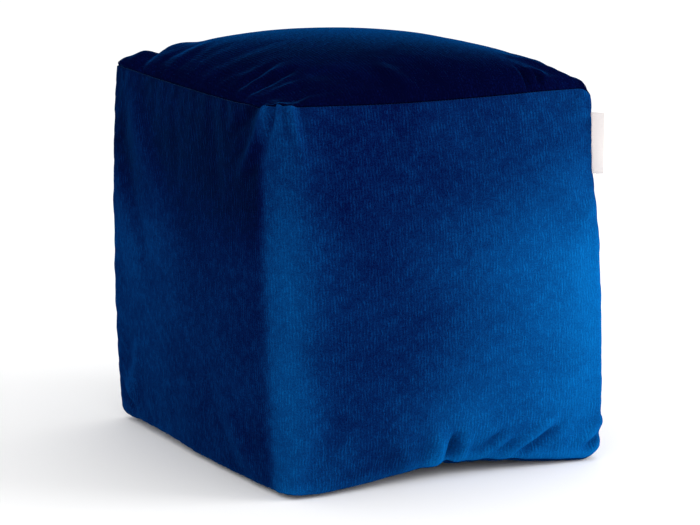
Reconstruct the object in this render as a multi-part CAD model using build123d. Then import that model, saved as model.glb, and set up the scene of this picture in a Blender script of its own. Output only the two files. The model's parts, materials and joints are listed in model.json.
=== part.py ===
from build123d import *
import os
from math import sqrt

# Floor cushion: a soft cube with a velvet cover, a zip along the lower edge of its back, an inner bag
# of foam beads and a small blank label in one upright seam.
# Millimetres, +Z up. The origin is the middle of the flat underside. The front panel faces -Y.

# ------------------------------------------------------------------ driving dimensions

SIDE = 360.0            # width and depth, across two opposite side panels
TOP_SEAM_Z = 368.0      # height of the seam round the top panel
CROWN = 42.0            # rise of the top panel above its edge
CROWN_ROUND = 0.4       # how evenly the crown is rounded; the rest of its curve is flat in the middle
SEAM_LIP = 2.0          # upright edge of the top panel, above its seam
CORNER_R = 25.0         # rounding of the four upright edges
BASE_R = 12.0           # rounding of the lower edge; the bottom seam is at the top of it

VELVET = 1.2            # thickness of the cover's fabric with its pile
ALLOWANCE = 10.0        # width of fabric turned in at a seam
SEAM_GAP = 0.6          # room for the stitching between two panels
PLY_GAP = 0.1           # between two layers of fabric that lie on each other
THREAD = 0.4            # thickness of the cover's sewing thread
SEAM_CLEAR = 0.5        # between the turned-in edges of seams that meet at a corner

LINER = 0.6             # thickness of the inner bag's fabric
LINER_INSET = 5.0       # from the cover's outside to the inner bag
LINER_CORNER_R = 50.0   # the corner rounding that the inner bag is drawn in from
LINER_TOP_SEAM_Z = 350.0
LINER_BOTTOM_SEAM_Z = 26.0
LINER_GAP = 0.4         # room for the stitching between two panels of the inner bag
LINER_THREAD = 0.3

ZIP_OPENING = 290.0     # length of the opening in the back panel
ZIP_STITCH_RISE = 2.0   # from the edge of the opening to the row of stitching beside it
ZIP_WINDOW = 12.0       # height of the opening
TAPE = 0.5              # thickness of the zip's tapes
TAPE_OVERLAP = 5.0      # how far the tapes run on past each end of the opening
TAPE_WIDTH = 15.0       # upper tape, from its coil's edge
TAPE_LOW_Z = 4.5        # where the lower tape ends, inside the lower edge
CHAIN_GROOVE = 1.4      # between the two tapes and the two coils, for the slider's post
COIL_WIDTH = 2.5        # one coil, across the zip
COIL_THICK = 2.0
COIL_PITCH = 2.4        # between two turns of a coil
COIL_TURN = 1.1         # thickness of one turn
COIL_ROOT = 0.6         # the stitched edge that carries the turns
END_GAP = 4.0           # from the end of the opening to the first turn
STOP_LENGTH = 2.0       # of the metal stops

RUN = 0.3               # running clearance round the slider and its pull
PLATE_LENGTH = 14.0
PLATE_WIDTH = 9.0
OUTER_PLATE = 1.1       # thickness
INNER_PLATE = 1.0
POST_LENGTH = 5.0
POST_THICK = 0.8
FLANGE = 1.0
BRIDGE_LENGTH = 7.6
BRIDGE_WIDTH = 2.0
BRIDGE_LEG = 1.4
BRIDGE_TOP = 1.2
PULL_LENGTH = 26.0
PULL_WIDTH = 7.0
PULL_THICK = 1.2
PULL_EYE = 4.4          # from the hinge axis to the solid part of the tab

LABEL_WIDTH = 14.0      # how far the folded label stands out of the seam
LABEL_HEIGHT = 60.0
LABEL_TOP_DROP = 22.0   # from the top seam down to the label
LABEL_THICK = 0.9       # both plies
LABEL_SLIT = 0.15       # between the plies
LABEL_ROOT = 7.5        # depth of the ends sewn into the seam

CARE_LABEL = (40.0, 50.0, 0.3)  # width, height, thickness
CARE_INSET = 4.0        # from the cover's outside

# ------------------------------------------------------------------ derived places

HALF = SIDE / 2
BIG = 4 * SIDE
BOTTOM_SEAM_Z = BASE_R
INNER_PLY = 2 * VELVET + PLY_GAP                # inset of the second turned-in layer
CORNER_REACH = (HALF - CORNER_R) * sqrt(2) + CORNER_R   # from the axis to an upright edge, on the diagonal
WINDOW_Z0 = BOTTOM_SEAM_Z + SEAM_GAP / 2
WINDOW_Z1 = WINDOW_Z0 + ZIP_WINDOW
CHAIN_Z = (WINDOW_Z0 + WINDOW_Z1) / 2
TAPE_Y = HALF - INNER_PLY                       # outer face of the tapes, where the coils lie
TAPE_LENGTH = ZIP_OPENING + 2 * TAPE_OVERLAP
COIL_LENGTH = ZIP_OPENING - 2 * END_GAP
SLIDER_X = COIL_LENGTH / 2 - PLATE_LENGTH / 2   # the slider rests at the closed end of the zip
PLATE_Y = TAPE_Y + COIL_THICK + RUN             # underside of the slider's outer plate
PULL_Y = PLATE_Y + OUTER_PLATE + RUN + PULL_THICK / 2   # the pull's hinge axis
SLIDER_TRAVEL = 2 * SLIDER_X
LABEL_HINGE = CORNER_REACH + RUN + LABEL_THICK / 2  # the label's hinge axis, on the diagonal


# ------------------------------------------------------------------ shapes that repeat

def crown_face(edge_z):
    """A surface that is level along the four seams and crowned between them.

    Across the cushion it rises as 1 - a t^2 - b t^4, where t is 1 at a seam and a + b = 1. The pairs
    below are t^2 and t^4 as the control values of a curve of degree 4.
    """
    reach = HALF + BASE_R
    square = (reach / HALF) ** 2
    powers = ((1, 1), (0, -1), (-1 / 3, 1), (0, -1), (1, 1))
    rises = [1 - CROWN_ROUND * square * p2 - (1 - CROWN_ROUND) * square ** 2 * p4 for p2, p4 in powers]
    stations = [-reach + i * reach / 2 for i in range(len(powers))]
    net = [[(x, y, edge_z + CROWN * rx * ry) for y, ry in zip(stations, rises)]
           for x, rx in zip(stations, rises)]
    return Face.make_bezier_surface(net)


def slab(low, high):
    """Everything between two heights."""
    return Pos(0, 0, (low + high) / 2) * Box(BIG, BIG, high - low)


def column(inset, low, high, corner_r=CORNER_R):
    """An upright block with the cushion's plan, drawn in by inset."""
    side = SIDE - 2 * inset
    plan = Pos(0, 0, low) * RectangleRounded(side, side, corner_r - inset)
    return extrude(plan, high - low)


def ring(outer, inner, low, high, corner_r=CORNER_R):
    """An upright band of fabric that follows the side walls, between two insets and two heights."""
    return column(outer, low, high, corner_r) - column(inner, low, high, corner_r)


def form(inset, corner_r=CORNER_R):
    """The whole cushion's shape, with every surface drawn in by inset."""
    block = column(inset, inset, TOP_SEAM_Z + 2 * CROWN, corner_r)
    block = fillet(block.edges().group_by(Axis.Z)[0], BASE_R - inset)
    crown = crown_face(TOP_SEAM_Z + SEAM_LIP - inset)
    return block & extrude(crown, amount=BIG, dir=(0, 0, -1))


def layer(outer, inner, corner_r=CORNER_R):
    """A layer of fabric that follows the whole form."""
    return form(outer, corner_r) - form(inner, corner_r)


def zip_zone(length, low, high):
    """The back of the cushion, along the zip, between two heights."""
    return Pos(0, HALF, (low + high) / 2) * Box(length, HALF, high - low)


def at_label_corner(shape, out, z):
    """Place a shape built on +Y at a distance out along the diagonal to the right front corner."""
    return Rot(0, 0, -135) * Pos(0, out, z) * shape


# ------------------------------------------------------------------ cover

def make_cover_top_panel():
    shell = layer(0, VELVET) & slab(TOP_SEAM_Z + SEAM_GAP / 2, BIG)
    turned_in = ring(INNER_PLY, INNER_PLY + VELVET, TOP_SEAM_Z - ALLOWANCE, BIG) & form(0)
    return shell + turned_in


def make_cover_bottom_panel():
    shell = layer(0, VELVET) & slab(0, BOTTOM_SEAM_Z - SEAM_GAP / 2)
    turned_in = ring(INNER_PLY, INNER_PLY + VELVET, BASE_R / 2, BOTTOM_SEAM_Z + ALLOWANCE)
    turned_in -= zip_zone(TAPE_LENGTH + 2, 0, 2 * BASE_R)
    hem = layer(VELVET, 2 * VELVET) & zip_zone(ZIP_OPENING, TAPE_LOW_Z, BOTTOM_SEAM_Z - SEAM_GAP / 2)
    return shell + turned_in + hem


def make_cover_wraps():
    """Two L-shaped wraps that meet at the right front and left back upright seams."""
    low = BOTTOM_SEAM_Z + SEAM_GAP / 2
    high = TOP_SEAM_Z - SEAM_GAP / 2
    wall = ring(0, VELVET, low, high)
    wall += ring(VELVET, 2 * VELVET, high - ALLOWANCE, high)
    wall += ring(VELVET, 2 * VELVET, low, low + ALLOWANCE)
    wall -= zip_zone(ZIP_OPENING, 0, WINDOW_Z1)
    wall += ring(VELVET, 2 * VELVET, WINDOW_Z1, WINDOW_Z1 + ALLOWANCE) & zip_zone(ZIP_OPENING, 0, BIG)

    fin_low = low + ALLOWANCE + SEAM_CLEAR
    fin_high = high - ALLOWANCE - SEAM_CLEAR
    fin = Box(VELVET, ALLOWANCE + VELVET, fin_high - fin_low)
    reach = CORNER_REACH - VELVET / 2 - ALLOWANCE / 2 - VELVET / 2
    wraps = []
    for way in (-1, 1):
        half = Rot(0, 0, 45) * Pos(way * (BIG + SEAM_GAP) / 2, 0, 0) * Box(BIG, 2 * BIG, 2 * BIG)
        wrap = wall & half
        for end in (-1, 1):
            place = Pos(way * (SEAM_GAP + VELVET) / 2, end * reach, (fin_low + fin_high) / 2)
            wrap += Rot(0, 0, 45) * place * fin
        wraps.append(wrap)
    return wraps


def make_level_thread(z, gap_open=None):
    """Stitching in a level seam of the cover."""
    thread = ring(THREAD, 3 * THREAD, z - THREAD / 2, z + THREAD / 2)
    if gap_open:
        thread -= zip_zone(gap_open, 0, 2 * BASE_R)
    return thread


def make_upright_thread(end):
    """Stitching down one upright seam of the cover; end is -1 at the right front, 1 at the left back."""
    low = BOTTOM_SEAM_Z + SEAM_GAP
    high = TOP_SEAM_Z - SEAM_GAP
    out = end * (CORNER_REACH - 2 * THREAD)
    return Rot(0, 0, 45) * Pos(0, out, (low + high) / 2) * Box(THREAD, 2 * THREAD, high - low)


# ------------------------------------------------------------------ zip

def make_tape_upper():
    low = CHAIN_Z + CHAIN_GROOVE / 2
    return ring(INNER_PLY, INNER_PLY + TAPE, low, low + TAPE_WIDTH) & zip_zone(TAPE_LENGTH, 0, BIG)


def make_tape_lower():
    high = CHAIN_Z - CHAIN_GROOVE / 2
    return layer(INNER_PLY, INNER_PLY + TAPE) & zip_zone(TAPE_LENGTH, TAPE_LOW_Z, high)


def make_coil(way):
    """One row of turns on its stitched edge; way is 1 above the chain's middle and -1 below."""
    inner = CHAIN_GROOVE / 2
    outer = inner + COIL_WIDTH
    count = int(COIL_LENGTH / COIL_PITCH) - 1
    first = -(count - 1) * COIL_PITCH / 2 + way * COIL_PITCH / 4
    root = Pos(0, way * (outer - COIL_ROOT / 2)) * Rectangle(COIL_LENGTH, COIL_ROOT)
    turn = Rectangle(COIL_TURN, COIL_WIDTH - COIL_ROOT / 2)
    middle = way * (inner + (COIL_WIDTH - COIL_ROOT / 2) / 2)
    comb = root + [Pos(first + i * COIL_PITCH, middle) * turn for i in range(count)]
    return extrude(Plane(origin=(0, TAPE_Y, CHAIN_Z), x_dir=(-1, 0, 0), z_dir=(0, 1, 0)) * comb, COIL_THICK)


def make_top_stops():
    """One crimped stop on each coil, beyond the slider's closed end."""
    x = COIL_LENGTH / 2 + RUN + STOP_LENGTH / 2
    stop = Box(STOP_LENGTH, COIL_THICK, COIL_WIDTH)
    rise = (CHAIN_GROOVE + COIL_WIDTH) / 2
    stops = [Pos(x, TAPE_Y + COIL_THICK / 2, CHAIN_Z + way * rise) * stop for way in (-1, 1)]
    return Compound(children=stops)


def make_bottom_stop():
    """A staple across both coils at the other end."""
    x = -(COIL_LENGTH / 2 + RUN + STOP_LENGTH / 2)
    return Pos(x, TAPE_Y + COIL_THICK / 2, CHAIN_Z) * Box(STOP_LENGTH, COIL_THICK, 2 * COIL_WIDTH)


def make_zip_stitch(z):
    """The row of stitching that holds a tape, on the face of the cover."""
    length = ZIP_OPENING + TAPE_OVERLAP
    return Pos(0, HALF + THREAD / 4, z) * Box(length, THREAD / 2, THREAD)


def at_chain(shape):
    """Place a shape modelled on the chain: X along the zip, Y outwards from the tapes, Z across."""
    return Pos(SLIDER_X, TAPE_Y, CHAIN_Z) * shape


def plate(thickness, low_y):
    """A slider plate with rounded ends and a waist."""
    half = PLATE_LENGTH / 2
    outline = Polyline(
        (-half, -PLATE_WIDTH / 2 + 1), (-half / 2, -PLATE_WIDTH / 2 + 0.4), (half, -PLATE_WIDTH / 2),
        (half, PLATE_WIDTH / 2), (-half / 2, PLATE_WIDTH / 2 - 0.4), (-half, PLATE_WIDTH / 2 - 1),
        close=True)
    flat = fillet(make_face(outline).vertices(), 1.2)
    return extrude(Plane(origin=(0, low_y, 0), x_dir=(1, 0, 0), z_dir=(0, 1, 0)) * flat, thickness)


def make_slider():
    outer_y = COIL_THICK + RUN
    inner_y = -TAPE - RUN - INNER_PLATE
    body = plate(OUTER_PLATE, outer_y) + plate(INNER_PLATE, inner_y)
    post_height = outer_y - inner_y
    body += Pos(0, inner_y + post_height / 2, 0) * Box(POST_LENGTH, post_height, POST_THICK)
    flange_height = outer_y - RUN
    for way in (-1, 1):
        z = way * (CHAIN_GROOVE / 2 + COIL_WIDTH + RUN + FLANGE / 2)
        body += Pos(0, RUN + flange_height / 2, z) * Box(PLATE_LENGTH / 2, flange_height, FLANGE)
    top_y = outer_y + OUTER_PLATE
    opening = 2 * RUN + PULL_THICK
    height = opening + BRIDGE_TOP
    arch = Box(BRIDGE_LENGTH, height, BRIDGE_WIDTH)
    arch = fillet(arch.edges().filter_by(Axis.Z).group_by(Axis.Y)[-1], BRIDGE_TOP)
    arch -= Pos(0, (opening - height) / 2, 0) * Box(BRIDGE_LENGTH - 2 * BRIDGE_LEG, opening, BIG)
    body += Pos(0, top_y + height / 2, 0) * arch
    return at_chain(body)


def make_pull():
    """A tab on a cross bar that turns under the slider's bridge; it lies back over the chain."""
    tab_length = PULL_LENGTH - PULL_EYE
    flat = Pos(-PULL_EYE - tab_length / 2, 0) * RectangleRounded(tab_length, PULL_WIDTH, 2.2)
    flat += Pos(-PULL_EYE - 1, 0) * Rectangle(4, PULL_WIDTH)
    flat -= Pos(-PULL_LENGTH + 5.5, 0) * SlotOverall(6, 3, rotation=0)
    arm_inner = BRIDGE_WIDTH / 2 + RUN
    arm = PULL_WIDTH / 2 - arm_inner
    for way in (-1, 1):
        flat += Pos(-PULL_EYE / 2, way * (arm_inner + arm / 2)) * Rectangle(PULL_EYE, arm)
    flat -= Pos(-PULL_EYE / 2, 0) * Rectangle(PULL_EYE, 2 * arm_inner)
    face = Plane(origin=(0, -PULL_THICK / 2, 0), x_dir=(1, 0, 0), z_dir=(0, 1, 0)) * flat
    tab = extrude(face, PULL_THICK)
    bar = Cylinder(PULL_THICK / 2, PULL_WIDTH)
    return Pos(0, PULL_Y - TAPE_Y, 0) * (tab + bar)


# ------------------------------------------------------------------ labels

def make_side_label():
    """The free flap: one ribbon folded in two, standing out of the right front seam.

    Its inner edge is round about the hinge axis, so that it turns clear of the seam.
    """
    z = TOP_SEAM_Z - LABEL_TOP_DROP - LABEL_HEIGHT / 2
    length = LABEL_WIDTH + LABEL_THICK / 2
    flap = Box(LABEL_THICK, length, LABEL_HEIGHT)
    flap = fillet(flap.edges().filter_by(Axis.Z), LABEL_THICK * 0.45)
    ply = (LABEL_THICK - LABEL_SLIT) / 2
    flap -= Pos(0, -ply, 0) * Box(LABEL_SLIT, length, LABEL_HEIGHT)
    return at_label_corner(flap, LABEL_HINGE + (LABEL_WIDTH - LABEL_THICK / 2) / 2, z)


def make_side_label_root():
    """The two ends of the ribbon, between the turned-in edges of the seam."""
    z = TOP_SEAM_Z - LABEL_TOP_DROP - LABEL_HEIGHT / 2
    ends = Box(THREAD, LABEL_ROOT, LABEL_HEIGHT)
    return at_label_corner(ends, CORNER_REACH - 4 * THREAD - LABEL_ROOT / 2, z)


def make_care_label():
    """A blank satin label inside the left panel, held by the bottom seam."""
    width, height, thickness = CARE_LABEL
    x = -(HALF - CARE_INSET - thickness / 2)
    return Pos(x, 0, BOTTOM_SEAM_Z + height / 2) * Box(thickness, width, height)


# ------------------------------------------------------------------ inner bag and filling

def make_liner():
    """The inner bag: top and bottom panels and one band round the sides, joined at the back."""
    shell = layer(LINER_INSET, LINER_INSET + LINER, LINER_CORNER_R)
    top = shell & slab(LINER_TOP_SEAM_Z + LINER_GAP / 2, BIG)
    bottom = shell & slab(0, LINER_BOTTOM_SEAM_Z - LINER_GAP / 2)
    band = shell & slab(LINER_BOTTOM_SEAM_Z + LINER_GAP / 2, LINER_TOP_SEAM_Z - LINER_GAP / 2)
    band -= Pos(0, HALF, 0) * Box(LINER_GAP, SIDE / 2, BIG)
    return top, bottom, band


def make_liner_level_thread(z):
    inset = LINER_INSET + (LINER - LINER_THREAD) / 2
    low = z - LINER_THREAD / 2
    return ring(inset, inset + LINER_THREAD, low, low + LINER_THREAD, LINER_CORNER_R)


def make_liner_side_thread():
    low = LINER_BOTTOM_SEAM_Z + LINER_GAP
    high = LINER_TOP_SEAM_Z - LINER_GAP
    y = HALF - LINER_INSET - LINER / 2
    return Pos(0, y, (low + high) / 2) * Box(LINER_THREAD, LINER_THREAD, high - low)


def make_bead_fill():
    return form(LINER_INSET + LINER + PLY_GAP, LINER_CORNER_R)


# ------------------------------------------------------------------ write every piece

def main():
    front_wrap, back_wrap = make_cover_wraps()
    liner_top, liner_bottom, liner_band = make_liner()
    nodes = {
        "cover_top_panel": make_cover_top_panel(),
        "cover_bottom_panel": make_cover_bottom_panel(),
        "cover_front_wrap": front_wrap,
        "cover_back_wrap": back_wrap,
        "top_seam_thread": make_level_thread(TOP_SEAM_Z),
        "bottom_seam_thread": make_level_thread(BOTTOM_SEAM_Z, ZIP_OPENING),
        "right_seam_thread": make_upright_thread(-1),
        "left_seam_thread": make_upright_thread(1),
        "zipper_tape_upper": make_tape_upper(),
        "zipper_tape_lower": make_tape_lower(),
        "zipper_coil_upper": make_coil(1),
        "zipper_coil_lower": make_coil(-1),
        "zipper_top_stops": make_top_stops(),
        "zipper_bottom_stop": make_bottom_stop(),
        "zipper_stitch_upper": make_zip_stitch(WINDOW_Z1 + ZIP_STITCH_RISE),
        "zipper_stitch_lower": make_zip_stitch(BOTTOM_SEAM_Z - ZIP_STITCH_RISE),
        "zipper_slider": make_slider(),
        "zipper_pull": at_chain(make_pull()),
        "side_label": make_side_label(),
        "side_label_root": make_side_label_root(),
        "care_label": make_care_label(),
        "liner_top_panel": liner_top,
        "liner_bottom_panel": liner_bottom,
        "liner_side_band": liner_band,
        "liner_top_thread": make_liner_level_thread(LINER_TOP_SEAM_Z),
        "liner_bottom_thread": make_liner_level_thread(LINER_BOTTOM_SEAM_Z),
        "liner_side_thread": make_liner_side_thread(),
        "bead_fill": make_bead_fill(),
    }
    os.makedirs("parts", exist_ok=True)
    for name, shape in nodes.items():
        export_step(shape, f"parts/{name}.step")
    print(f"{len(nodes)} nodes; the slider rests at x {SLIDER_X:.1f} and travels {SLIDER_TRAVEL:.1f}")
    print(f"the pull turns about an upright axis at y {PULL_Y:.2f}, z {CHAIN_Z:.2f}")
    hinge = LABEL_HINGE / sqrt(2)
    print(f"the label turns about the upright axis x {hinge:.3f}, y {-hinge:.3f}")


main()
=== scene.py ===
"""Floor cushion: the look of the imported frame. Metres, +Z up, the front panel faces -Y.

The cover is worked out as one closed skin of fabric: four side walls, a top and a bottom. A cloth
simulation gives it its small creases, the named folds go on top of those, and the skin is then cut
into its sewn panels.
"""

import json
import math

import bpy
import numpy as np
from mathutils import Matrix, Vector


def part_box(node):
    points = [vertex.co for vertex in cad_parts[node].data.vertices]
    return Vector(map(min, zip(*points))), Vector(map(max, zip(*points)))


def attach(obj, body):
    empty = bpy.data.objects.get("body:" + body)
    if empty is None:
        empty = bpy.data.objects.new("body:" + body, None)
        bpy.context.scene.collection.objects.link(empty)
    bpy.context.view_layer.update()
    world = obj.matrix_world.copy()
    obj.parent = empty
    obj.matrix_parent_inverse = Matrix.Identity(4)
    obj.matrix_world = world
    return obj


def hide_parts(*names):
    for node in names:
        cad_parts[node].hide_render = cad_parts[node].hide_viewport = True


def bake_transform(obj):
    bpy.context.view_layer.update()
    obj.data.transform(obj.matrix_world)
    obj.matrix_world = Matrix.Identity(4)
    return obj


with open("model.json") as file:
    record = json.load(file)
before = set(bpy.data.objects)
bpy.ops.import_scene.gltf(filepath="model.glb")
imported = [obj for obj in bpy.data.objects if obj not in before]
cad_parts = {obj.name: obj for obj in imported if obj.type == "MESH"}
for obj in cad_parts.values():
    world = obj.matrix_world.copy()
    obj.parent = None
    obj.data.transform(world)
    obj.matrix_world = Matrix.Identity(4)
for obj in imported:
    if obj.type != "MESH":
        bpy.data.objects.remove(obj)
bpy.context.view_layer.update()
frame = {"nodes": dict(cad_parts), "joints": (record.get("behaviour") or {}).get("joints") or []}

# ---- sizes, in metres

CELLS = 112  # fabric cells along one side panel
ROWS = 116  # fabric cells up a side panel
EDGE_CROWD = 0.45  # how much closer the cells lie at the seams

# The sides run front, right, back, left, and each starts at the corner of the same number.
NEAR, RIGHT, FAR, LEFT = range(4)
TOP_CORNERS = np.array([(-0.1665, -0.1737, 0.3743), (0.1728, -0.1734, 0.3750),
                        (0.1745, 0.1765, 0.3712), (-0.1812, 0.1800, 0.3768)])
BASE_CORNERS = np.array([(-0.1590, -0.1831), (0.1818, -0.1890), (0.1800, 0.1833), (-0.1786, 0.1833)])
SEAMED = (False, True, False, True)

TOP_DIP = (0.0068, 0.0085, 0.005, 0.008)  # how far the top seam hangs along each side
DIP_PLACE = (0.42, 0.35, 0.5, 0.78)  # and where along the side it hangs lowest
EAR = 0.05  # share of a side that the dip needs to start
BULGE_LOW = (0.002, 0.006, -0.0030, 0.006)  # how far each side stands out at its lower edge
BULGE_MID = (0.007, 0.009, 0.008, 0.008)
BULGE_TOP = (0.002, 0.004, 0.004, 0.003)
BULGE_SKEW = (1.0, 1.0, 1.0, 1.6)  # above 1, the bulge lies nearer to the side's end
CORNER_BOW = (0.0, 0.0070, 0.003, 0.0085)  # how far each upright edge bows out at mid height

BASE_Z = 0.0025  # the bottom seam above the floor
TUCK = 0.008  # radius of the roll under the lower edge
TUCK_START = math.radians(25)
BROW = 0.004  # radius of the roll at the top seam
BROW_TURN = math.radians(50)
ROUND_PLAIN = 0.042  # rounding of the upright edges that have no seam
ROUND_SEAMED = 0.012
ROUND_END = 0.006  # rounding at their ends
LIFT = 0.0110  # the front's lower edge stands off the floor here
LIFT_PLACE = 0.54
LIFT_REACH = 0.46
LIFT_DRAW = 0.012  # and is drawn in this far
CORNER_LIFT = (0.0020, 0.0062, 0.0015, 0.0050)  # the lower corners above the rest of the seam
CORNER_DROP = (0.0, 0.0130, 0.0060, 0.0040)  # how far the top seam falls at the blunt corners
CORNER_SPAN = 0.055  # share of a side that a blunt corner takes
LEFT_LIFT = 0.0032  # the left side's lower edge, near its far corner
LEVEL = 9.0  # the bottom panel comes down to the floor over this many times its edge's height

CROWN = 0.0492  # the top panel's rise above its seam
CROWN_POWER = 2.3
CROWN_EDGE = 0.58
CROWN_TILT = 0.15  # the crown is this much lower at its right side

ZIP_HALF = 0.1475  # half the length of the zip's opening, with its rounded end
ZIP_END = 0.006
ZIP_LOW = 0.0123
ZIP_HIGH = 0.0243
ZIP_RISE = 0.022  # how long the bottom seam takes to rise to the zip
ZIP_FACE = 0.1800  # the back wall stands no further out beside the zip, for the pull's sake
ZIP_FLAT = 0.1615  # and that far to each side

VELVET = 0.0012
SEAM_ROLL = 0.0022  # radius at which the fabric turns into a seam
SEAM_GAP = 0.0005
ALLOWANCE = 0.0035
LINER = 0.0006
LINER_INSET = 0.0095
FILL_INSET = 0.0108

SEED = 7

PANEL_WIDTH = 0.35  # a panel's side, for distances from its seams
TURN_STEPS = (0.3, 0.6, 0.85, 1.0)  # where the turn into a seam has its points
TOP_TURN = -0.8  # the fabric turned in at a top seam points down, at a bottom seam up
BOTTOM_TURN = 1.0
DENSE = 400  # points along one side while its outline is worked out
BACK = slice(FAR * CELLS, LEFT * CELLS)  # the back wall's columns

# ---- helpers


def smooth(edge0, edge1, x):
    """0 below edge0, 1 above edge1, smooth between."""
    t = np.clip((x - edge0) / (edge1 - edge0), 0, 1)
    return t * t * (3 - 2 * t)


def bow(q, power=2.5):
    """A bulge that is 0 at the ends of a side and 1 in its middle."""
    return 1 - np.abs(2 * q - 1) ** power


def crowded(count):
    """count + 1 places from 0 to 1, closer together at both ends."""
    u = np.linspace(0, 1, count + 1)
    return (1 - EDGE_CROWD) * u + EDGE_CROWD * (1 - np.cos(np.pi * u)) / 2


def unit(v):
    return v / np.maximum(np.linalg.norm(v, axis=-1, keepdims=True), 1e-12)


def bell(x, middle, width):
    return np.exp(-((x - middle) / width) ** 2)


def distances(line):
    """How far along a line of points each of them lies."""
    return np.concatenate([[0], np.cumsum(np.linalg.norm(np.diff(line, axis=0), axis=1))])


def sample(line, steps, at):
    """The points of a line at the distances at, where steps are the distances of its own points."""
    return np.column_stack([np.interp(at, steps, line[:, i]) for i in range(line.shape[1])])


def rim(grid):
    """The border of a grid once round, from its first corner along its first row."""
    return np.concatenate([grid[0, :-1], grid[:-1, -1], grid[-1, :0:-1], grid[:0:-1, 0]])


def set_rim(grid, ring):
    """Puts a closed ring of values on the border of a square grid."""
    n = len(ring) // 4
    grid[0] = ring[:n + 1]
    grid[:, n] = ring[n:2 * n + 1]
    grid[n, ::-1] = ring[2 * n:3 * n + 1]
    grid[::-1, 0] = np.concatenate([ring[3 * n:], ring[:1]])


def grid_quads(index, wrap=False):
    """The faces between a grid's points. wrap joins its last column to its first."""
    right = np.roll(index, -1, axis=1) if wrap else index[:, 1:]
    left = index if wrap else index[:, :-1]
    return np.stack([left[:-1], right[:-1], right[1:], left[1:]], axis=-1).reshape(-1, 4)


def new_object(name, points, faces, cloth=None):
    """A smooth object. cloth holds the fabric coordinates of its points."""
    mesh = bpy.data.meshes.new(name)
    mesh.from_pydata(points.tolist(), [], faces if isinstance(faces, list) else faces.tolist())
    mesh.validate()
    mesh.update()
    mesh.polygons.foreach_set("use_smooth", [True] * len(mesh.polygons))
    if cloth is not None:
        attribute = mesh.attributes.new("cloth", "FLOAT_VECTOR", "POINT")
        attribute.data.foreach_set("vector", np.asarray(cloth, np.float32).ravel())
    obj = bpy.data.objects.new(name, mesh)
    bpy.context.scene.collection.objects.link(obj)
    return obj


def thicken(obj, thickness, offset=-1):
    """Gives a sheet its thickness, inward for offset -1 and outward for 1."""
    solid = obj.modifiers.new("thickness", "SOLIDIFY")
    solid.thickness = thickness
    solid.offset = offset
    shaped = bpy.data.meshes.new_from_object(obj.evaluated_get(bpy.context.evaluated_depsgraph_get()))
    obj.modifiers.clear()
    thin = obj.data
    obj.data = shaped
    bpy.data.meshes.remove(thin)
    shaped.name = obj.name
    return obj

# ---- the cushion's shape


def peak(q, place):
    """0 at both ends of a side and 1 at one place along it."""
    return smooth(0, place, q) * (1 - smooth(place, 1, q))


def top_seam(q, side):
    """The top seam along one side: it hangs between two corners that stand up like ears."""
    a, b = TOP_CORNERS[side][2], TOP_CORNERS[(side + 1) % 4][2]
    near = np.minimum(q, 1 - q)
    ears = smooth(0, EAR, near)
    dip = TOP_DIP[side] * (0.55 * ears + 0.45 * peak(q, DIP_PLACE[side]) ** 0.7)
    return a + (b - a) * q - dip - blunt(q, side, CORNER_DROP)


def blunt(q, side, sizes):
    """A height that a side has only close to its two corners."""
    start, end = sizes[side], sizes[(side + 1) % 4]
    near_start, near_end = (np.clip(1 - away / CORNER_SPAN, 0, 1) ** 2 for away in (q, 1 - q))
    return start * near_start + end * near_end


def pinch(q):
    """1 where the front's lower edge is drawn up and in the most, 0 far from there."""
    return 1 - smooth(0, LIFT_REACH, np.abs(q - LIFT_PLACE))


def zip_open(x):
    """1 along the zip's opening, 0 beyond its ends."""
    return 1 - smooth(ZIP_HALF - ZIP_END, ZIP_HALF + ZIP_END, np.abs(x))


def bottom_seam(q, side):
    """Heights of the side wall's lower edge and of the bottom panel's edge, along one side."""
    low = BASE_Z + blunt(q, side, CORNER_LIFT)
    if side == NEAR:
        low += LIFT * pinch(q)
    if side == LEFT:
        low += LEFT_LIFT * smooth(0, 0.08, q) * (1 - smooth(0.25, 0.55, q))
    if side != FAR:
        return low, low
    x = BASE_CORNERS[FAR][0] + (BASE_CORNERS[LEFT][0] - BASE_CORNERS[FAR][0]) * q
    rise = 1 - smooth(ZIP_HALF, ZIP_HALF + ZIP_RISE, np.abs(x))
    floor_edge = low + (ZIP_LOW - BASE_Z) * rise
    return floor_edge + (ZIP_HIGH - ZIP_LOW) * zip_open(x), floor_edge


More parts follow.
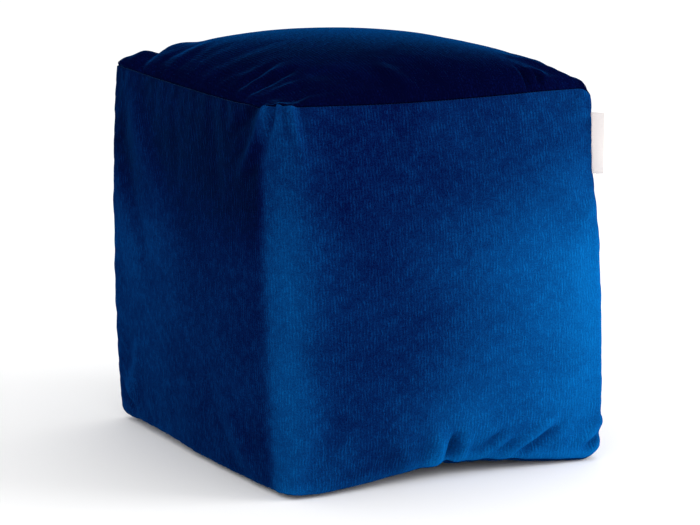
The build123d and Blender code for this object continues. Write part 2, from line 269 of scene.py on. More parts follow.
def outline(t, places):
    """The closed plan outline at height fraction t: (4 * cells, 2)."""
    q = np.arange(DENSE) / DENSE
    tall = bow(t, 2.2)
    corners = BASE_CORNERS + (TOP_CORNERS[:, :2] - BASE_CORNERS) * t
    corners = corners + unit(corners) * (np.array(CORNER_BOW) * tall)[:, None]
    points = []
    reaches = []
    for k in range(4):
        a = corners[k]
        b = corners[(k + 1) % 4]
        along = unit(b - a)
        out = np.array((along[1], -along[0]))
        limit = BULGE_TOP[k] if t > 0.5 else BULGE_LOW[k]
        bulge = BULGE_MID[k] + (limit - BULGE_MID[k]) * (2 * t - 1) ** 2
        power = 9.0 if k == FAR and t < 0.12 else 2.5  # the back is nearly straight along the zip
        stand = bulge * bow(q ** BULGE_SKEW[k], power)
        if k == NEAR:
            stand -= LIFT_DRAW * (1 - smooth(0, 0.10, t)) * pinch(q)
        points.append(a + (b - a) * q[:, None] + out * stand[:, None])
        wide = ROUND_SEAMED if SEAMED[k] else ROUND_PLAIN
        reaches.append(int((ROUND_END + (wide - ROUND_END) * tall) / np.linalg.norm(b - a) * DENSE))
    points = np.concatenate(points)
    result = points.copy()
    for k, reach in enumerate(reaches):
        round_corner = k * DENSE + np.arange(-reach, reach + 1)
        f = (np.arange(2 * reach + 1) / (2 * reach))[:, None]
        first, last = points[round_corner[0]], points[round_corner[-1]]
        result[round_corner] = (1 - f) ** 2 * first + 2 * f * (1 - f) * points[k * DENSE] + f * f * last
    spread = []
    for k in range(4):
        side = result[np.arange(k * DENSE, (k + 1) * DENSE + 1) % (4 * DENSE)]
        steps = distances(side)
        spread.append(sample(side, steps, places[:-1] * steps[-1]))
    return np.concatenate(spread)


def wall_profile():
    """Inset and height fraction of each fabric row, from the bottom seam to the top seam."""
    height = TOP_CORNERS[:, 2].mean() - BASE_Z
    start = TUCK * (math.pi / 2 - TUCK_START)
    brow = BROW * BROW_TURN
    low_end = TUCK * math.cos(TUCK_START)
    straight = height - low_end - BROW * math.sin(BROW_TURN)
    v = crowded(ROWS) * (start + straight + brow)
    inset = np.zeros_like(v)
    z = low_end + v - start
    low = v < start
    angle = TUCK_START + v[low] / TUCK
    inset[low] = TUCK * (1 - np.sin(angle))
    z[low] = low_end - TUCK * np.cos(angle)
    high = v > start + straight
    angle = (v[high] - start - straight) / BROW
    inset[high] = BROW * (1 - np.cos(angle))
    z[high] = low_end + straight + BROW * np.sin(angle)
    return inset, z / z[-1]


def make_walls(places):
    """The side walls (rows + 1, 4 * cells, 3), column 0 at the near corner, and the bottom's edge."""
    inset, rise = wall_profile()
    q = places[:-1]
    top = np.concatenate([top_seam(q, k) for k in range(4)])
    wall_low, floor_edge = np.hstack([bottom_seam(q, k) for k in range(4)])
    grid = np.zeros((ROWS + 1, 4 * CELLS, 3))
    for j in range(ROWS + 1):
        plan = outline(rise[j], places)
        keep = np.ones(4 * CELLS)
        if j < ROWS // 2:  # the back wall stands upright beside the zip
            keep[BACK] = 1 - zip_open(plan[BACK, 0] * 0.97)
        grid[j, :, :2] = plan - unit(plan * np.abs(plan) ** 5) * (inset[j] * keep)[:, None]
        grid[j, :, 2] = wall_low + (top - wall_low) * rise[j]
        beyond = smooth(ZIP_FLAT, ZIP_FLAT + 0.014, np.abs(grid[j, BACK, 0]))
        limit = ZIP_FACE + 0.012 * beyond + 0.020 * smooth(0.030, 0.070, grid[j, BACK, 2])
        grid[j, BACK, 1] = np.minimum(grid[j, BACK, 1], limit)
    edge = grid[0].copy()
    edge[:, 2] = floor_edge
    return grid, edge


def fill_panel(ring, places):
    """A Coons patch inside a closed ring: (cells + 1, cells + 1, 3), indexed [y, x]."""
    n = CELLS
    front = ring[0:n + 1]
    right = ring[n:2 * n + 1]
    back = ring[2 * n:3 * n + 1][::-1]
    left = np.concatenate([ring[3 * n:], ring[:1]])[::-1]
    u = places[None, :, None]
    v = places[:, None, None]
    ruled = (1 - v) * front[None] + v * back[None] + (1 - u) * left[:, None] + u * right[:, None]
    corners = ((1 - u) * (1 - v) * front[0] + u * (1 - v) * front[-1]
               + (1 - u) * v * back[0] + u * v * back[-1])
    return ruled - corners


def make_top(ring, places):
    panel = fill_panel(ring, places)
    u = 2 * places - 1
    rise = np.clip(1 - np.abs(u) ** CROWN_POWER, 0, 1) ** CROWN_EDGE
    panel[:, :, 2] += CROWN * rise[:, None] * (rise * (1 - CROWN_TILT * smooth(-0.2, 1, u)))[None, :]
    return panel


def make_bottom(ring, places):
    """The bottom panel: it comes down gently from its seam to the floor, but rolls down by the zip."""
    panel = fill_panel(ring, places)
    width = 2 * abs(TOP_CORNERS[0][0])
    edge = np.minimum(places, 1 - places) * width
    height = panel[:, :, 2].copy()
    sides = np.maximum(height[:, :1], height[:, -1:])
    gentle = np.maximum(1 - smooth(0, 1, edge[None, :] / (LEVEL * sides)),
                        1 - smooth(0, 1, places[:, None] * width / (LEVEL * height[:1])))
    behind = np.clip((1 - places)[:, None] * width / np.maximum(height, 0.006), 0, 1)
    roll = 1 - np.sqrt(1 - (1 - behind) ** 2)
    panel[:, :, 2] = height * np.maximum(gentle, roll)
    return panel


places = crowded(CELLS)
walls, floor_ring = make_walls(places)
top = make_top(walls[-1], places)
bottom = make_bottom(floor_ring, places)

# ---- fabric coordinates and folds


def wall_cloth(grid):
    """Fabric coordinates of the walls: the way round from the near corner, and the height up the fabric.

    The left side counts down from the near corner, so the fabric runs on round that edge.
    """
    round_way = distances(np.concatenate([grid[ROWS // 2], grid[ROWS // 2, :1]]))
    s = round_way[:-1].copy()
    s[LEFT * CELLS:] -= round_way[-1]
    rows = np.linalg.norm(np.diff(grid, axis=0), axis=2).mean(axis=1)
    v = np.concatenate([[0], np.cumsum(rows)])
    s, v = np.broadcast_to(s, grid.shape[:2]), np.broadcast_to(v[:, None], grid.shape[:2])
    return s, v, float(round_way[-1])


def grid_normals(grid, closed=False):
    """Outward normals of a grid whose rows run up and whose columns run to the right, seen from outside."""
    if closed:
        across = np.roll(grid, -1, axis=1) - np.roll(grid, 1, axis=1)
    else:
        across = np.gradient(grid, axis=1)
    return unit(np.cross(across, np.gradient(grid, axis=0)))


def fold(a, b, start, end, width, height, skew=0.0):
    """A soft crease along one line: a valley where height is below 0, with a low ridge on each side."""
    start, end = np.array(start), np.array(end)
    length = np.linalg.norm(end - start)
    along = (end - start) / length
    da, db = a - start[0], b - start[1]
    f = (da * along[0] + db * along[1]) / length
    e = (db * along[0] - da * along[1]) / width + skew * np.sin(np.pi * np.clip(f, 0, 1))
    taper = smooth(-0.25, 0.35, f) * (1 - smooth(0.65, 1.25, f))
    ridge = np.exp(-e * e)
    sides = np.exp(-((np.abs(e) - 1.9) / 1.1) ** 2)
    return height * taper * (ridge - 0.35 * sides)


# Start, end, width, height and skew of each fold, in millimetres apart from the skew. The places are
# fabric coordinates.
WALL_FOLDS = (
    # the pinch in the front's lower edge, and the creases that run up from it
    ((170, -12), (174, 34), 6, -8.5, 0.4),
    ((158, -4), (154, 40), 7, 3.4, 0.2),
    ((198, -2), (232, 26), 4.5, 4, -0.3),
    ((210, 12), (226, 34), 5.2, -3, -0.2),
    ((226, -2), (280, 42), 5, 5, -0.3),
    ((246, 8), (290, 36), 5.6, -4, -0.3),
    ((350, 24), (316, 10), 5, -4.4, 0.3),
    ((350, 38), (312, 20), 6, 3.4, 0.2),
    ((128, 4), (106, 50), 10, 2, 0.2),
    ((30, 10), (70, 60), 12, 2, 0.4),
    # the near corner's gathered top
    ((4, 385), (8, 335), 3.5, -2.2, 0.5),
    ((12, 382), (20, 318), 4.8, 2, 0.5),
    ((-5, 382), (-20, 330), 4.5, -2.6, -0.5),
    ((-12, 378), (-62, 300), 8, 3.2, -0.4),
    ((-24, 380), (-85, 330), 7, -2.4, -0.3),
    # long soft folds of the left side
    ((-325, 360), (-235, 250), 18, 2.6, 0.4),
    ((-335, 300), (-262, 170), 17, -2.6, 0.3),
    ((-340, 20), (-300, 85), 10, 3, 0.4),
    ((-348, 30), (-322, 10), 5, -3, 0.2),
    ((-60, 12), (-105, 70), 13, 2.2, -0.3),
    # the seam corner at the right, and below the label
    ((345, 375), (318, 335), 7.5, 1.2, 0.4),
    ((349, 262), (316, 232), 8, 2, 0.3),
    ((349, 190), (320, 200), 8, -1.8, 0.3),
    # the two sides that face away
    ((372, 360), (430, 290), 11, 3, 0.3),
    ((368, 30), (425, 80), 11, 3, -0.3),
    ((660, 15), (600, 75), 12, 2.8, 0.3),
    ((690, 370), (640, 300), 10, -2.4, 0.3),
    ((760, 360), (820, 300), 12, 2.6, -0.3),
    ((870, 50), (890, 105), 10, -2.2, 0.4),
    ((990, 360), (940, 300), 11, 2.8, 0.3),
    ((1020, 30), (975, 85), 11, 2.6, 0.3),
)
TOP_FOLDS = (
    # the corner at the left, which stands up on its own behind a crease
    ((-176, 122), (-122, 176), 7.5, -3.6, 0.3),
    ((-160, 104), (-104, 160), 10, 2, 0.3),
    ((-170, 90), (-120, 98), 6, -1.1, 0.4),
    ((-170, 68), (-122, 80), 5.8, 0.8, 0.4),
    ((-172, 50), (-128, 60), 6.4, -0.8, 0.4),
    # creases that run up from the left edge near the front
    ((-168, -82), (-118, -70), 6, -2.4, 0.5),
    ((-168, -106), (-112, -98), 6, -2.6, 0.5),
    ((-166, -130), (-122, -128), 6.4, 1.4, 0.4),
    ((-150, -168), (-120, -128), 6.2, -1.8, 0.4),
    # two short dents near the right corner
    ((100, -173), (102, -150), 3.2, -4.8, 0.2),
    ((114, -173), (118, -150), 3.2, -4.8, 0.2),
    ((150, -160), (128, -120), 7, 2.6, 0.3),
    ((166, -120), (120, -100), 8, -2.6, 0.3),
    ((172, 120), (110, 100), 9, -3, 0.3),
    ((120, 174), (100, 115), 9, -3, -0.3),
    ((-60, 176), (-45, 120), 8, 2.2, -0.3),
    ((-30, -172), (-40, -130), 8, 1.6, 0.3),
)

# Small puffs and hollows of the top panel at its corners: middle, radius and height, in millimetres.
TOP_PUFFS = (((-160, 160), 22, 5.2), ((155, 155), 24, 0.8), ((150, -150), 26, -4.0))


def folded(a, b, folds):
    """The height that a list of folds gives the fabric at each point."""
    return sum(fold(1000 * a, 1000 * b, *numbers) for numbers in folds) / 1000


def wave(rng, along, length, shortest=0.010, longest=0.045, count=14):
    """A smooth random wave along a seam, about 1 high, that meets itself after length."""
    total = np.zeros_like(along)
    for _ in range(count):
        turns = round(length / rng.uniform(shortest, longest))
        total += np.sin(2 * np.pi * turns * along / length + rng.uniform(0, 2 * np.pi)) * rng.uniform(0.5, 1)
    return total / math.sqrt(count / 2)


PUCKER = 0.0007  # height of the small gathers along the seams
PUCKER_REACH = 0.013  # and how far they run into the panels


def seam_gathers(distance, waves):
    """Gathers that are highest a little way from the seam and fade into the panel."""
    fade = np.exp(-distance / PUCKER_REACH) * smooth(0, 0.003, distance)
    return PUCKER * waves * fade


LABEL_PULL = 0.0045  # how far the sewn-in label draws its seam in
LABEL_HEIGHT = 0.292  # and where up the seam

# ---- cloth simulation

SIM_FRAMES = 22
SIM_SMOOTH = 60  # rounds of smoothing that leave the bulge and take out the creases
CREASE_CAP = 0.0042  # the largest move that a crease may make
WALL_CREASES = 0.24  # share of the simulation's creases that the walls keep
TOP_CREASES = 0.20  # and the top panel
CLOTH_SETTINGS = {
    "quality": 6,
    "mass": 0.25,
    "tension_stiffness": 18,
    "compression_stiffness": 18,
    "shear_stiffness": 6,
    "bending_stiffness": 0.25,
    "air_damping": 1.5,
    "use_pressure": True,
    "uniform_pressure_force": 3.2,
    "vertex_group_mass": "pins",
    "pin_stiffness": 0.6,
    "vertex_group_shrink": "seams",
    "shrink_min": -0.035,  # the panels are cut this much too large for the shape
    "shrink_max": 0.055,  # and the seams draw in this much
}
SEAM_HOLD = 0.35  # how firmly the seams stay where they are
FLOOR_HOLD = 0.6  # and the bottom seam


def skin_mesh(wall, upper, lower):
    """One closed mesh of the whole cover. Returns points, faces and the index of every grid point."""
    rows, around = wall.shape[:2]
    points = [wall.reshape(-1, 3)]
    wall_index = np.arange(rows * around).reshape(rows, around)
    taken = rows * around

    def panel_index(grid, ring):
        nonlocal taken
        index = np.full(grid.shape[:2], -1)
        set_rim(index, ring)
        free = index < 0
        index[free] = taken + np.arange(free.sum())
        points.append(grid[free])
        taken += int(free.sum())
        return index

    top_index = panel_index(upper, wall_index[-1])
    low_index = panel_index(lower, wall_index[0])
    faces = [grid_quads(wall_index, True), grid_quads(top_index), grid_quads(low_index)[:, ::-1]]
    return np.concatenate(points), np.concatenate(faces), (wall_index, top_index, low_index)


def neighbour_mean(values, edges, counts):
    total = np.zeros_like(values)
    np.add.at(total, edges[:, 0], values[edges[:, 1]])
    np.add.at(total, edges[:, 1], values[edges[:, 0]])
    return total / counts[:, None]


def simulate(wall, upper, lower):
    """Blows the skin up against its tight seams. Returns how the creases move the walls and the top."""
    points, faces, (wall_index, top_index, low_index) = skin_mesh(wall, upper, lower)
    skin = new_object("skin", points, faces)
    right_seam, left_seam = (wall_index[:, k * wall_index.shape[1] // 4] for k in (RIGHT, LEFT))
    seams = skin.vertex_groups.new(name="seams")
    for line in (wall_index[-1], wall_index[0], right_seam, left_seam):
        seams.add(line.tolist(), 1.0, "REPLACE")
    pins = skin.vertex_groups.new(name="pins")
    holds = ((low_index[4:-4, 4:-4], 1.0), (wall_index[-1], SEAM_HOLD), (wall_index[0], FLOOR_HOLD),
             (right_seam[1:-1], SEAM_HOLD), (left_seam[1:-1], SEAM_HOLD))
    for part, hold in holds:
        pins.add(part.ravel().tolist(), hold, "REPLACE")
    cloth = skin.modifiers.new("cloth", "CLOTH")
    for key, value in CLOTH_SETTINGS.items():
        setattr(cloth.settings, key, value)
    cloth.settings.effector_weights.gravity = 0
    cloth.collision_settings.use_collision = False
    cloth.collision_settings.use_self_collision = False
    cloth.point_cache.frame_start = 1
    cloth.point_cache.frame_end = SIM_FRAMES
    for step in range(1, SIM_FRAMES + 1):
        bpy.context.scene.frame_set(step)
    shaped = skin.evaluated_get(bpy.context.evaluated_depsgraph_get()).to_mesh()
    moved = np.zeros(len(points) * 3)
    shaped.vertices.foreach_get("co", moved)
    moved = moved.reshape(-1, 3) - points
    edges = np.array([e.vertices[:] for e in skin.data.edges])
    counts = np.bincount(edges.ravel(), minlength=len(points)).astype(float)
    even = moved
    for _ in range(SIM_SMOOTH):
        even = 0.5 * even + 0.5 * neighbour_mean(even, edges, counts)
    creases = moved - even
    size = np.linalg.norm(creases, axis=1, keepdims=True)
    creases *= np.minimum(1, CREASE_CAP / np.maximum(size, 1e-9))
    bpy.data.objects.remove(skin)
    bpy.context.scene.frame_set(1)
    return creases[wall_index], creases[top_index]


def refine(coarse, closed=False):
    """Twice as many cells each way, with the new values halfway between the old."""
    if closed:
        coarse = np.concatenate([coarse, coarse[:, :1]], axis=1)
    for _ in range(2):
        fine = np.zeros((2 * len(coarse) - 1, *coarse.shape[1:]))
        fine[::2] = coarse
        fine[1::2] = (coarse[1:] + coarse[:-1]) / 2
        coarse = fine.swapaxes(0, 1)
    return coarse[:, :-1] if closed else coarse


def blur(values):
    """A light blur down the rows that leaves the first and the last alone."""
    result = values.copy()
    result[1:-1] = 0.25 * values[:-2] + 0.5 * values[1:-1] + 0.25 * values[2:]
    return result


def soften(grid, closed=False):
    """A light blur that leaves the grid's border alone."""
    grid = blur(grid)
    if closed:
        grid = np.concatenate([grid[:, -1:], grid, grid[:, :1]], axis=1)
    grid = blur(grid.swapaxes(0, 1)).swapaxes(0, 1)
    return grid[:, 1:-1] if closed else grid


# ---- the finished skin

wall_s, wall_v, around = wall_cloth(walls)
top_x, top_y = top[:, :, 0].copy(), top[:, :, 1].copy()
calm_walls, calm_top, calm_bottom = walls.copy(), top.copy(), bottom.copy()

sim_walls, sim_top = simulate(walls[::2, ::2], top[::2, ::2], bottom[::2, ::2])
walls = walls + soften(refine(sim_walls, True), True) * WALL_CREASES
top = top + soften(refine(sim_top)) * TOP_CREASES

# The folds fade near the side seams and near the bottom seam.
rng = np.random.default_rng(SEED)
wall_folds = folded(wall_s, wall_v, WALL_FOLDS)
seams = wall_s[0, RIGHT * CELLS], wall_s[0, LEFT * CELLS]
apart = [np.minimum(np.abs(wall_s - seam), np.abs(wall_s - seam - around)) for seam in seams]
beside_seam = 0.3 + 0.7 * smooth(0, 0.014, np.minimum(*apart))
wall_folds *= beside_seam * (0.35 + 0.65 * smooth(0, 0.012, wall_v))
rise = wall_folds - LABEL_PULL * np.exp(-(apart[0] / 0.02) ** 2 - ((wall_v - LABEL_HEIGHT) / 0.045) ** 2)
way = wall_s[0] % around
fabric_height = wall_v[-1, 0]
for distance in (fabric_height - wall_v, wall_v):
    rise += 0.6 * seam_gathers(distance, wave(rng, way, around)[None, :])
for distance in apart:
    rise += 0.6 * seam_gathers(distance, wave(rng, wall_v, 2 * fabric_height, 0.020, 0.080))

# The back wall stays calm round the zip.
zip_side = np.zeros(4 * CELLS)
zip_side[BACK] = zip_open(calm_walls[0, BACK, 0] * 0.88)
loose = 1 - zip_side[None, :] * (1 - smooth(0.024, 0.058, wall_v))
lifted = grid_normals(calm_walls, True) * (rise * loose)[:, :, None]
walls = calm_walls + (walls - calm_walls) * loose[:, :, None] + lifted

rise = folded(top_x, top_y, TOP_FOLDS)
edge = np.minimum(places, 1 - places) * PANEL_WIDTH
for ripples in (np.s_[:, None], np.s_[None, :]):
    rise += seam_gathers(edge, wave(rng, places * PANEL_WIDTH, 2 * PANEL_WIDTH))[ripples]
for (x, y), radius, height in TOP_PUFFS:
    far = np.hypot(1000 * top_x - x, 1000 * top_y - y) / radius
    rise += height / 1000 * np.exp(-far ** 2)
top = top + grid_normals(calm_top) * rise[:, :, None]
set_rim(top, walls[-1])
shift = fill_panel(walls[0] - calm_walls[0], places)
bottom = bottom + shift * (1 - smooth(0, 0.03, np.minimum(edge[:, None], edge[None, :])))[:, :, None]
bottom[:, :, 2] = np.maximum(bottom[:, :, 2], 0)
walls[:, :, 2] = np.maximum(walls[:, :, 2], 0.0004)

# ---- sewn panels


def border(rows, cols):
    """Rows and columns of the points on a grid's border, once round."""
    return np.divmod(rim(np.arange(rows * cols).reshape(rows, cols)), cols)


def inward(points, lift):
    """The way into the cushion from a seam: level and square to the side, then up or down by lift."""
    flat = points[:, :2]
    way = -unit(flat * np.abs(flat) ** 5)
    return unit(np.column_stack([way, lift]))


def panel_shell(name, grid, cloth, lift, thickness, allowance=ALLOWANCE, roll=SEAM_ROLL):
    """A closed sheet of fabric whose edges turn in at the seams.

    lift gives, for each point of the border, how much the turned-in fabric points up.
    """
    rows, cols = grid.shape[:2]
    r, c = border(rows, cols)
    inner = np.clip(r, 1, rows - 2), np.clip(c, 1, cols - 2)
    seam = grid[r, c].copy()
    outward = unit(seam - grid[inner])
    way_in = inward(seam, lift)
    spread = outward - (outward * way_in).sum(1, keepdims=True) * way_in
    corner = seam - unit(spread) * SEAM_GAP / 2
    end = corner + way_in * roll
    start = seam - outward * np.minimum(roll, 0.75 * np.linalg.norm(seam - grid[inner], axis=1))[:, None]
    turn = [((1 - f) ** 2 * start + 2 * f * (1 - f) * corner + f * f * end, f * roll) for f in TURN_STEPS]
    points = grid.copy()
    points[r, c] = start
    points = [points.reshape(-1, 3)]
    cloths = [cloth.reshape(-1, 3)]
    index = np.arange(rows * cols).reshape(rows, cols)
    faces = [grid_quads(index)]
    loop = index[r, c]
    side = unit(cloth[r, c] - cloth[inner])
    for layer, further in turn + [(end + way_in * allowance, roll + allowance)]:
        following = sum(map(len, points)) + np.arange(len(r))
        faces.append(np.stack([loop, following, np.roll(following, -1), np.roll(loop, -1)], axis=-1))
        points.append(layer)
        cloths.append(cloth[r, c] + side * further)
        loop = following
    sheet = new_object(name, np.concatenate(points), np.concatenate(faces), np.concatenate(cloths))
    return thicken(sheet, thickness)


def wrap_columns(first):
    """The columns of the two sides that follow one seamed corner."""
    return np.arange(first, first + 2 * CELLS + 1) % (4 * CELLS)


def wrap_lift(rows, cols):
    """How far the turned-in edges of a wall point up: up from the bottom seam, down from the top one."""
    height = border(rows, cols)[0] / (rows - 1)
    return BOTTOM_TURN * (1 - smooth(0, 0.06, height)) + TOP_TURN * smooth(0.94, 1, height)


# ---- painted light and shade on the velvet, with slow random changes of tone

FOLD_LIGHT_AND_SHADE = 26.0  # painted highlight on a fold's ridge and painted shade in its valley


def drift(rng, a, b, size, count=10):
    """Slow changes over the fabric, about -1 to 1."""
    total = np.zeros(a.shape)
    for _ in range(count):
        turn = rng.uniform(0, 2 * np.pi)
        scale = 2 * np.pi / (size * rng.uniform(0.6, 1.8))
        total += np.sin((a * np.cos(turn) + b * np.sin(turn)) * scale + rng.uniform(0, 2 * np.pi))
    return total / math.sqrt(count)


def wall_tone_and_light(rng, s, v):
    """Painted light and shade on the walls, 0 dark to 1 bright: a painted bright band at the near edge, the
    front painted brighter towards the right, the left side and the upper walls in painted shade, the sides
    that face away at a middle tone with a brighter band at the far corner, a painted bright rim along the
    lower edge, and slow random changes of tone.
    """
    front = smooth(-0.040, -0.018, s) * (1 - smooth(0.350, 0.372, s))
    left = 1 - smooth(-0.040, -0.018, s)
    away = smooth(0.350, 0.372, s)
    upper = smooth(0.19, 0.33, v)
    lower = 1 - smooth(0.03, 0.13, v)
    front_light = 0.345 + 0.30 * bell(s, -0.002, 0.034) + 0.45 * smooth(0.08, 0.32, s)
    front_light -= upper * (0.10 + 0.20 * smooth(0.12, 0.25, s) + 0.08 * bell(s, 0, 0.03))
    front_light += lower * 0.22 * bell(s, 0.175, 0.05)
    front_light += (0.015 + 0.050 * lower + 0.03 * upper) * bell(s, 0.075, 0.05)
    front_light += 0.03 * upper * bell(s, 0.19, 0.05)
    front_light += 0.09 * smooth(0.290, 0.335, s) * bell(v, 0.17, 0.11)
    front_light += 0.06 * bell(s, 0.315, 0.03) * bell(v, 0.13, 0.08)
    shaded = 0.30 + 0.07 * smooth(0.15, 0.27, -s) - 0.25 * smooth(0.17, 0.30, v)
    shaded += 0.06 * bell(v, 0.20, 0.06) * smooth(0.16, 0.24, -s)
    behind = 0.42 - 0.08 * upper + 0.10 * bell(s, 0.372, 0.03) + 0.07 * drift(rng, s, v, 0.22, 5)
    tone_and_light = front * front_light + left * shaded + away * behind
    tone_and_light += 0.10 * bell(v, 0.372, 0.025) * bell(s, 0.006, 0.012)
    # painted light: a bright rim along the front's lower edge, where the floor's bounce light falls
    tone_and_light += 0.16 * (1 - smooth(0.002, 0.018, v)) * front
    tone_and_light += 0.12 * bell(s, 0.160, 0.014) * (1 - smooth(0.010, 0.045, v))
    return tone_and_light + 0.020 * drift(rng, s, v, 0.07) + 0.012 * drift(rng, s, 2.0 * v, 0.025)


def top_tone_and_light(rng, x, y):
    # Painted shade on the top panel: dark all over, darkest in the middle near the front, a little lighter
    # towards the back and the right, with slow random changes of tone.
    tone_and_light = 0.035 - 0.05 * bell(x, 0.0, 0.07) * (1 - smooth(-0.1, 0.0, y))
    tone_and_light += 0.058 * smooth(-0.05, 0.12, y) + 0.018 * smooth(0.02, 0.12, x)
    tone_and_light += 0.04 * bell(x, 0.11, 0.04) * bell(y, -0.12, 0.05)
    return tone_and_light + 0.03 * drift(rng, x, y, 0.10) + 0.02 * drift(rng, x, y, 0.03)


# ---- the cover's panels

BOTTOM_BRIGHTER = 0.3  # the bottom panel takes the top panel's painted shade pattern, drawn this much brighter

# The walls' painted light and shade, with painted highlights on the fold ridges and painted shade in their
# valleys.
tone_and_light = wall_tone_and_light(rng, wall_s, wall_v) + FOLD_LIGHT_AND_SHADE * wall_folds
panels = {}
for name, first in (("cover_front_wrap", LEFT * CELLS), ("cover_back_wrap", RIGHT * CELLS)):
    cols = wrap_columns(first)
    grid = walls[:, cols]
    way = wall_s[:, cols] + around * ((wall_s[:, cols] < 0) & (first == RIGHT * CELLS))
    cloth = np.stack([way, wall_v[:, cols], tone_and_light[:, cols]], axis=-1)
    panels[name] = panel_shell(name + "_velvet", grid, cloth, wrap_lift(*grid.shape[:2]), VELVET)
cloth = np.stack([top_x, top_y, top_tone_and_light(rng, top_x, top_y)], axis=-1)
turn = np.ones(4 * CELLS)
panels["cover_top_panel"] = panel_shell("cover_top_panel_velvet", top, cloth, TOP_TURN * turn, VELVET)
cloth = np.stack([top_x, top_y, BOTTOM_BRIGHTER + top_tone_and_light(rng, top_x, top_y)], axis=-1)
panels["cover_bottom_panel"] = panel_shell(
    "cover_bottom_panel_velvet", bottom[:, ::-1], cloth[:, ::-1], BOTTOM_TURN * turn, VELVET)

# ---- the inner bag and its filling

MIDDLE_Z = 0.187
HALF_WIDTH = 0.178
LINER_ALLOWANCE = 0.003
LINER_ROLL = 0.0015
LINER_RISE = 0.004  # the most that the bag's bottom rises above its lowest seam


def shrunk(grid, inset):
    """The same shape drawn in on every side, with every second point."""
    small = grid.copy()
    small[:, :, :2] *= 1 - inset / HALF_WIDTH
    small[:, :, 2] = MIDDLE_Z + (grid[:, :, 2] - MIDDLE_Z) * (1 - inset / MIDDLE_Z)
    return small[::2, ::2]


def coordinates(a, b):
    return np.stack([a, b, np.zeros_like(a)], axis=-1)


def liner_panel(name, grid, cloth, lift):
    return panel_shell(name + "_cloth", grid, cloth, lift, LINER, LINER_ALLOWANCE, LINER_ROLL)


calm = calm_walls, calm_top, calm_bottom
liner_walls, liner_top, liner_bottom = (shrunk(part, LINER_INSET) for part in calm)
liner_bottom[:, :, 2] = np.minimum(liner_bottom[:, :, 2], liner_walls[0, :, 2].min() + LINER_RISE)
half = CELLS // 2
round_cols = np.arange(LEFT * half, (LEFT + 4) * half + 1) % (4 * half)
band = liner_walls[:, round_cols]
band_cloth = coordinates(wall_s[::2, ::2][:, round_cols], wall_v[::2, ::2][:, round_cols])
flat_cloth = coordinates(top_x[::2, ::2], top_y[::2, ::2])
turn = np.ones(4 * half)
liner = {
    "liner_side_band": liner_panel("liner_side_band", band, band_cloth, wrap_lift(*band.shape[:2])),
    "liner_top_panel": liner_panel("liner_top_panel", liner_top, flat_cloth, TOP_TURN * turn),
    "liner_bottom_panel": liner_panel(
        "liner_bottom_panel", liner_bottom[:, ::-1], flat_cloth[:, ::-1], BOTTOM_TURN * turn),
}

fill_points, fill_faces, _ = skin_mesh(*(shrunk(part, FILL_INSET) for part in calm))
fill = new_object("bead_fill_cushion", fill_points, fill_faces, fill_points)

# ---- stitching

STITCH = 0.0032
STITCH_SHARE = 0.78  # of the pitch that one stitch covers
THREAD = 0.0002  # the thread's radius
THREAD_SIDES = 6
SEAM_DEPTH = 0.0016  # how far down in its seam a thread lies
LINER_SEAM_DEPTH = 0.0012
ZIP_ROW = 0.0024  # the zip's rows of stitching from the edge of the fabric
ROW_LIFT = 0.00012  # and their height above it


def make_stitches(name, line, up):
    """A row of single stitches along a line. up is the way out of the fabric at each point of it."""
    steps = distances(line)
    count = int(steps[-1] / STITCH)
    pitch = steps[-1] / count
    share = np.array((0.0, 0.12, 0.35, 0.65, 0.88, 1.0))
    sunk = np.array((1.0, 0.2, 0.0, 0.0, 0.2, 1.0)) * THREAD * 1.6
    size = np.array((0.55, 0.9, 1.0, 1.0, 0.9, 0.55)) * THREAD
    angle = 2 * np.pi * np.arange(THREAD_SIDES) / THREAD_SIDES
    index = np.arange(len(share) * THREAD_SIDES).reshape(len(share), THREAD_SIDES)
    points, faces = [], []
    for k in range(count):
        at = (k + 0.5 - STITCH_SHARE / 2 + share * STITCH_SHARE) * pitch
        middle = sample(line, steps, at)
        out = unit(sample(up, steps, at))
        side = unit(np.cross(unit(middle[-1] - middle[0]), out))
        middle = middle - out * sunk[:, None]
        ring = side[:, None] * np.cos(angle)[None, :, None] + out[:, None] * np.sin(angle)[None, :, None]
        own = index + k * index.size
        faces += grid_quads(own, True).tolist() + [own[0][::-1].tolist(), own[-1].tolist()]
        points.append((middle[:, None] + ring * size[:, None, None]).reshape(-1, 3))
    return new_object(name + "_stitches", np.concatenate(points), faces)


def closed_row(row):
    return np.concatenate([row, row[:1]])


def seam_line(points, lift, depth):
    """A seam's stitches lie a little way down between the two panels."""
    way = inward(points, np.full(len(points), lift))
    return points + way * depth, -way


def zip_line(line, out):
    """The part of a line that runs along the zip's opening, a little off the fabric."""
    beside = np.abs(line[:, 0]) < ZIP_HALF
    return line[beside] + out[beside] * ROW_LIFT, out[beside]


